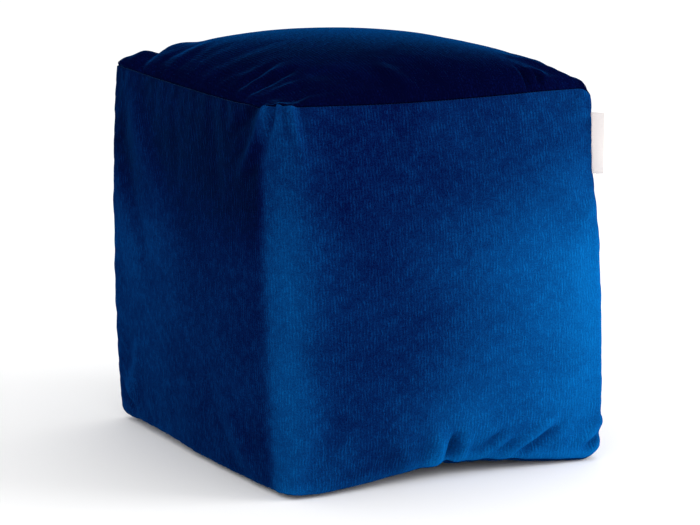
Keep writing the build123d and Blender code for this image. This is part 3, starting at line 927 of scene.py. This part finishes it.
upper_row = int(np.searchsorted(wall_v[:, 0], ZIP_ROW))
lower_row = CELLS - int(np.searchsorted(places * PANEL_WIDTH, ZIP_ROW))
back = np.arange(FAR * CELLS, LEFT * CELLS + 1)
lines = {
    "top_seam_thread": seam_line(closed_row(walls[-1]), TOP_TURN, SEAM_DEPTH),
    "bottom_seam_thread": seam_line(closed_row(rim(bottom)), BOTTOM_TURN, SEAM_DEPTH),
    "right_seam_thread": seam_line(walls[3:-3, RIGHT * CELLS], 0.0, SEAM_DEPTH),
    "left_seam_thread": seam_line(walls[3:-3, LEFT * CELLS], 0.0, SEAM_DEPTH),
    "liner_top_thread": seam_line(closed_row(liner_walls[-1]), TOP_TURN, LINER_SEAM_DEPTH),
    "liner_bottom_thread": seam_line(closed_row(liner_walls[0]), BOTTOM_TURN, LINER_SEAM_DEPTH),
    "liner_side_thread": seam_line(liner_walls[2:-2, LEFT * half], 0.0, LINER_SEAM_DEPTH),
    # two rows hold the zip's tapes: one on the back wall and one on the bottom panel
    "zipper_stitch_upper": zip_line(walls[upper_row, back], grid_normals(walls, True)[upper_row, back]),
    "zipper_stitch_lower": zip_line(bottom[lower_row], -grid_normals(bottom)[lower_row]),
}
threads = {name: make_stitches(name, *line) for name, line in lines.items()}

# ---- labels

LABEL_LOW, LABEL_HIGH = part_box("side_label")
LABEL_TIP = 0.0110  # how far the folded label stands out of the seam
LABEL_IN = 0.0045  # and how much of it the seam holds
LABEL_PLY = 0.00032
LABEL_HALF_GAP = 0.00012
LABEL_CURL = 0.0011
LABEL_SKEW = 0.0004  # how far it leans over and spreads
LABEL_ROWS = 31
OUT = Vector((1, -1, 0)).normalized()  # the way that the label points
ASIDE = Vector((1, 1, 0)).normalized()
CARE_INSET = 0.0055  # the care label inside the left wall
CARE_PLY = 0.0003


def new_sheet(name, grid, cloth, thickness, offset):
    index = np.arange(grid[:, :, 0].size).reshape(grid.shape[:2])
    return thicken(new_object(name, grid.reshape(-1, 3), grid_quads(index), cloth), thickness, offset)


def make_label(hinge):
    """A blank ribbon folded in two, its ends sewn into the seam."""
    along = list(np.linspace(0, 1, 15) * (LABEL_TIP + LABEL_IN) - LABEL_IN)
    bend = [(math.sin(a) * 0.0005, math.cos(a)) for a in np.linspace(0.3, math.pi - 0.3, 5)]
    path = [(x, 1.0) for x in along] + [(LABEL_TIP + dx, side) for dx, side in bend]
    path += [(x, -1.0) for x in along[::-1]]
    grid = np.zeros((LABEL_ROWS, len(path), 3))
    cloth = np.zeros_like(grid)
    for i, z in enumerate(np.linspace(LABEL_LOW.z, LABEL_HIGH.z, LABEL_ROWS)):
        share = i / (LABEL_ROWS - 1)
        for j, (x, face) in enumerate(path):
            free = max(0.0, x) / LABEL_TIP
            curl = LABEL_CURL * free ** 2 * math.sin(math.pi * (0.15 + 0.9 * share)) - LABEL_SKEW * free
            place = hinge + OUT * x + ASIDE * (face * LABEL_HALF_GAP + curl)
            grid[i, j] = (place.x, place.y, z - LABEL_SKEW * free * (share - 0.5))
            cloth[i, j] = (x + (0.05 if face > 0 else 0), z, 0)
    return new_sheet("side_label_ribbon", grid, cloth, LABEL_PLY, 1)


def make_care_label():
    """A small blank label that hangs inside the left wall."""
    low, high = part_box("care_label")
    column = np.arange(LEFT * CELLS, 4 * CELLS)
    y = calm_walls[ROWS // 2, column, 1]
    z = calm_walls[:, column[0], 2]
    cols = column[(y > low.y) & (y < high.y)]
    rows = np.flatnonzero((z > low.z) & (z < high.z))
    block = calm_walls[np.ix_(rows, cols)].copy()
    block[:, :, 0] += CARE_INSET
    return new_sheet("care_label_ribbon", block, coordinates(block[:, :, 1], block[:, :, 2]), CARE_PLY, -1)


label_hinge = Vector(next(j for j in frame["joints"] if j["name"] == "label_flex")["pos_m"])
label = make_label(label_hinge)
care_label = make_care_label()

# ---- materials


class Nodes:
    """Short names for building a material's nodes."""

    def __init__(self, name):
        self.material = bpy.data.materials.new(name)
        self.material.use_nodes = True
        self.tree = self.material.node_tree
        self.shader = self.tree.nodes["Principled BSDF"]

    def add(self, kind, **settings):
        node = self.tree.nodes.new(kind)
        for key, value in settings.items():
            setattr(node, key, value)
        return node

    def join(self, value, socket):
        if isinstance(value, bpy.types.NodeSocket):
            self.tree.links.new(value, socket)
        else:
            socket.default_value = value

    def math(self, operation, *values, clamp=False):
        node = self.add("ShaderNodeMath", operation=operation, use_clamp=clamp)
        for value, socket in zip(values, node.inputs):
            self.join(value, socket)
        return node.outputs[0]

    def vector(self, x, y, z=0.0):
        node = self.add("ShaderNodeCombineXYZ")
        for value, socket in zip((x, y, z), node.inputs):
            self.join(value, socket)
        return node.outputs[0]

    def total(self, first, *more, clamp=False):
        """The sum of the values. clamp keeps it between 0 and 1."""
        for value in more[:-1]:
            first = self.math("ADD", first, value)
        return self.math("ADD", first, more[-1], clamp=clamp)

    def times(self, a, b):
        return self.math("MULTIPLY", a, b)

    def scaled(self, value, gain, shift, clamp=False):
        return self.math("MULTIPLY_ADD", value, gain, shift, clamp=clamp)

    def stripes(self, turns):
        """From 1 down to 0 and back for each whole turn."""
        return self.scaled(self.math("COSINE", self.times(turns, 2 * math.pi)), 0.5, 0.5)

    def place(self):
        return self.add("ShaderNodeTexCoord").outputs["Object"]

    def cloth(self):
        """The fabric coordinates: along the fabric, up it, and the third value that the piece keeps."""
        node = self.add("ShaderNodeSeparateXYZ")
        self.join(self.add("ShaderNodeAttribute", attribute_name="cloth").outputs["Vector"], node.inputs[0])
        return node.outputs

    def noise(self, vector, scale, detail=2.0, rough=0.5):
        node = self.add("ShaderNodeTexNoise")
        self.join(vector, node.inputs["Vector"])
        node.inputs["Scale"].default_value = scale
        node.inputs["Detail"].default_value = detail
        node.inputs["Roughness"].default_value = rough
        return node.outputs[0]

    def ramp(self, factor, *stops):
        node = self.add("ShaderNodeValToRGB")
        self.join(factor, node.inputs[0])
        ramp = node.color_ramp
        while len(ramp.elements) < len(stops):
            ramp.elements.new(1.0)
        for element, (place, colour) in zip(ramp.elements, stops):
            element.position = place
            element.color = (*colour, 1.0)
        return node.outputs[0]

    def bump(self, height, strength, distance):
        node = self.add("ShaderNodeBump")
        self.join(height, node.inputs["Height"])
        node.inputs["Strength"].default_value = strength
        node.inputs["Distance"].default_value = distance
        self.join(node.outputs[0], self.shader.inputs["Normal"])

    def set(self, **values):
        for key, value in values.items():
            self.join(value, self.shader.inputs[key.replace("_", " ")])
        return self.material


RIB_PITCH = 0.0033
# The ramp turns painted light and shade into colour: from the velvet in deep shade to the velvet in full
# light.
VELVET_SHADE_TO_LIGHT_RAMP = ((0.0, (0.0005, 0.0010, 0.014)), (0.22, (0.0007, 0.0030, 0.036)),
               (0.42, (0.0010, 0.0155, 0.084)), (0.68, (0.0012, 0.0480, 0.190)),
               (1.0, (0.0015, 0.1150, 0.380)))
VELVET_SHEEN = (0.004, 0.22, 0.80, 1)


def velvet(name, sheen, sheen_rough, ribbed, grain):
    """Velvet with a broken upright rib. Its third fabric coordinate holds painted light and shade, which the
    ramp turns into colour.
    """
    n = Nodes(name)
    s, v, tone_and_light = n.cloth()
    here = n.vector(s, v)
    sway = n.noise(here, 22.0, 2.0)
    shiver = n.noise(n.vector(s, n.times(v, 0.7)), 190.0, 1.0)
    phase = n.total(n.math("DIVIDE", s, RIB_PITCH), n.times(sway, 1.6), n.times(shiver, 1.1))
    row = n.times(n.math("FLOOR", phase), 7.31)  # each rib is broken in places of its own
    dash = n.noise(n.vector(row, n.times(v, 105.0)), 1.0, 1.0)
    rib = n.times(n.stripes(phase), n.scaled(dash, 4.2, -1.7, clamp=True))
    pile = n.noise(here, 800.0, 3.0, 0.65)
    tuft = n.noise(n.vector(n.times(s, 1.6), v), 330.0, 2.0, 0.6)
    patch = n.noise(here, 55.0, 3.0, 0.6)
    n.bump(n.total(n.times(rib, ribbed), n.times(pile, 0.45)), 0.55, 0.0007)
    shade = n.total(tone_and_light, n.scaled(patch, 0.12, -0.06), n.scaled(tuft, 0.28, -0.14),
                    n.scaled(pile, grain, -0.5 * grain),
                    n.times(n.math("SUBTRACT", rib, 0.28), 0.16 * ribbed), clamp=True)
    return n.set(Base_Color=n.ramp(shade, *VELVET_SHADE_TO_LIGHT_RAMP), Roughness=0.95, Specular_IOR_Level=0.0,
                 Sheen_Weight=sheen, Sheen_Roughness=sheen_rough, Sheen_Tint=VELVET_SHEEN)


def thread_material(name, colour, light):
    n = Nodes(name)
    where = n.place()
    twist = n.add("ShaderNodeTexWave", bands_direction="DIAGONAL")
    n.join(where, twist.inputs["Vector"])
    twist.inputs["Scale"].default_value = 900.0
    twist.inputs["Distortion"].default_value = 1.5
    n.bump(twist.outputs["Fac"], 0.5, 0.0001)
    shade = n.total(n.times(twist.outputs["Fac"], 0.5), n.times(n.noise(where, 400.0), 0.5))
    return n.set(Base_Color=n.ramp(shade, (0.2, colour), (0.9, light)), Roughness=0.7,
                 Specular_IOR_Level=0.15)


def woven(name, colour, light, pitch, rough=0.75, by_object=False):
    """A plain weave. by_object is for pieces that have no fabric coordinates."""
    n = Nodes(name)
    if by_object:
        split = n.add("ShaderNodeSeparateXYZ")
        n.join(n.place(), split.inputs[0])
        a, b = split.outputs[0], split.outputs[2]
    else:
        a, b = n.cloth()[:2]
    across, up = (n.stripes(n.math("DIVIDE", value, pitch)) for value in (a, b))
    weave = n.math("MAXIMUM", n.times(across, n.math("SUBTRACT", 1.0, up)),
                   n.times(up, n.math("SUBTRACT", 1.0, across)))
    slub = n.noise(n.vector(a, n.times(b, 6.0)), 160.0, 2.0)
    n.bump(n.total(weave, n.times(slub, 0.5)), 0.4, 0.00012)
    shade = n.total(n.times(weave, 0.55), n.times(slub, 0.45))
    return n.set(Base_Color=n.ramp(shade, (0.15, colour), (0.8, light)), Roughness=rough,
                 Specular_IOR_Level=0.3, Sheen_Weight=0.15)


def metal(name):
    n = Nodes(name)
    where = n.place()
    wear = n.noise(where, 350.0, 4.0, 0.6)
    scratch = n.noise(n.vector(n.times(n.noise(where, 60.0), 3.0), wear), 40.0, 2.0)
    n.bump(wear, 0.08, 0.0001)
    return n.set(Base_Color=n.ramp(wear, (0.3, (0.50, 0.50, 0.49)), (0.7, (0.70, 0.69, 0.67))), Metallic=1.0,
                 Roughness=n.scaled(scratch, 0.22, 0.18))


def nylon(name, colour, light):
    n = Nodes(name)
    cloudy = n.noise(n.place(), 260.0, 3.0)
    n.bump(cloudy, 0.1, 0.0001)
    return n.set(Base_Color=n.ramp(cloudy, (0.3, colour), (0.8, light)),
                 Roughness=n.scaled(cloudy, 0.2, 0.3), Specular_IOR_Level=0.4)


def beads(name):
    """Foam beads, pressed together inside the bag."""
    n = Nodes(name)
    cells = n.add("ShaderNodeTexVoronoi")
    n.join(n.place(), cells.inputs["Vector"])
    cells.inputs["Scale"].default_value = 260.0
    far = cells.outputs["Distance"]
    n.bump(n.math("SUBTRACT", 1.0, far), 0.8, 0.001)
    # Painted shade: each bead's colour darkens towards its edge, between the beads.
    return n.set(Base_Color=n.ramp(far, (0.0, (0.90, 0.90, 0.88)), (0.8, (0.66, 0.66, 0.64))), Roughness=0.7)


# ---- bodies, slots and what pieces stand for

navy, navy_light = (0.003, 0.012, 0.060), (0.010, 0.040, 0.150)
finishes = {
    "velvet": (velvet, 0.16, 0.40, 1.0, 0.60),
    "velvet_top": (velvet, 0.40, 0.20, 0.6, 0.95),
    "cover_thread": (thread_material, navy, navy_light),
    "liner_thread": (thread_material, (0.70, 0.70, 0.68), (0.86, 0.86, 0.84)),
    "zip_tape": (woven, (0.002, 0.008, 0.040), (0.006, 0.026, 0.100), 0.0007, 0.75, True),
    "zip_coil": (nylon, (0.003, 0.012, 0.055), (0.008, 0.030, 0.110)),
    "zip_metal": (metal,),
    "label_ribbon": (woven, (0.90, 0.83, 0.80), (0.97, 0.91, 0.88), 0.0006, 0.5),
    "liner_cloth": (woven, (0.60, 0.60, 0.58), (0.80, 0.80, 0.78), 0.0009),
    "foam_beads": (beads,),
}
looks = {name: make(name, *values) for name, (make, *values) in finishes.items()}


def dress(piece, slot, look=None):
    piece.data.materials.clear()
    piece.data.materials.append(looks[look or slot])


def ride(piece, body, *nodes):
    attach(piece, body)
    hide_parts(*nodes)


for name, piece in panels.items():
    dress(piece, "velvet", "velvet_top" if name == "cover_top_panel" else None)
    ride(piece, "cushion", name)
for name, piece in threads.items():
    dress(piece, "liner_thread" if name.startswith("liner") else "cover_thread")
    ride(piece, "cushion", name)
for name, piece in liner.items():
    dress(piece, "liner_cloth")
    ride(piece, "cushion", name)
dress(fill, "foam_beads")
ride(fill, "cushion", "bead_fill")
dress(care_label, "label_ribbon")
ride(care_label, "cushion", "care_label")
dress(label, "label_ribbon")
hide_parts("side_label", "side_label_root")
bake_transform(label)

KEPT = {
    "zip_tape": ("zipper_tape_upper", "zipper_tape_lower"),
    "zip_coil": ("zipper_coil_upper", "zipper_coil_lower"),
    "zip_metal": ("zipper_top_stops", "zipper_bottom_stop", "zipper_slider", "zipper_pull"),
}
for slot, names in KEPT.items():
    for name in names:
        mesh = frame["nodes"][name].data
        mesh.materials.clear()
        mesh.materials.append(looks[slot])

# ---- stage, light and camera

FLOOR = 30.0  # half the floor's side


def make_stage():
    floor = bpy.data.meshes.new("floor")
    corners = [(x * FLOOR, y * FLOOR, 0) for x, y in ((-1, -1), (1, -1), (1, 1), (-1, 1))]
    floor.from_pydata(corners, [], [(0, 1, 2, 3)])
    obj = bpy.data.objects.new("floor", floor)
    bpy.context.scene.collection.objects.link(obj)
    material = bpy.data.materials.new("floor")
    material.use_nodes = True
    shader = material.node_tree.nodes["Principled BSDF"]
    shader.inputs["Base Color"].default_value = (0.97, 0.97, 0.97, 1)
    shader.inputs["Roughness"].default_value = 0.9
    floor.materials.append(material)
    world = bpy.data.worlds.new("studio")
    bpy.context.scene.world = world
    world.use_nodes = True
    world.node_tree.nodes["Background"].inputs["Color"].default_value = (1, 1, 1, 1)
    world.node_tree.nodes["Background"].inputs["Strength"].default_value = 1.1


LENS = 133.714  # mm, on a sensor 36 mm wide
SENSOR = 36.0
AZIMUTH = math.radians(-27.43)
ELEVATION = math.radians(11.16)
DISTANCE = 2.6266
AIM = Vector((-0.0022, 0.0, 0.1823))
ROLL = math.radians(0.16)


def make_camera():
    back = Vector((math.sin(AZIMUTH) * math.cos(ELEVATION), -math.cos(AZIMUTH) * math.cos(ELEVATION),
                   math.sin(ELEVATION)))
    camera = bpy.data.objects.new("camera", bpy.data.cameras.new("camera"))
    camera.data.sensor_width = SENSOR
    camera.data.lens = LENS
    turn = back.to_track_quat("Z", "Y").to_matrix().to_4x4() @ Matrix.Rotation(ROLL, 4, "Z")
    camera.matrix_world = Matrix.Translation(AIM + back * DISTANCE) @ turn
    bpy.context.scene.collection.objects.link(camera)
    bpy.context.scene.camera = camera


def make_light(name, place, aim, size, power):
    light = bpy.data.lights.new(name, "AREA")
    light.shape = "RECTANGLE"
    light.size = size[0]
    light.size_y = size[1]
    light.energy = power
    obj = bpy.data.objects.new(name, light)
    direction = Vector(aim) - Vector(place)
    obj.matrix_world = Matrix.Translation(place) @ direction.to_track_quat("-Z", "Y").to_matrix().to_4x4()
    bpy.context.scene.collection.objects.link(obj)


make_stage()
make_camera()
make_light("key", (1.5, -1.0, 0.7), (0.1, -0.17, 0.15), (0.9, 1.4), 22)
bpy.context.scene.view_settings.view_transform = "Standard"
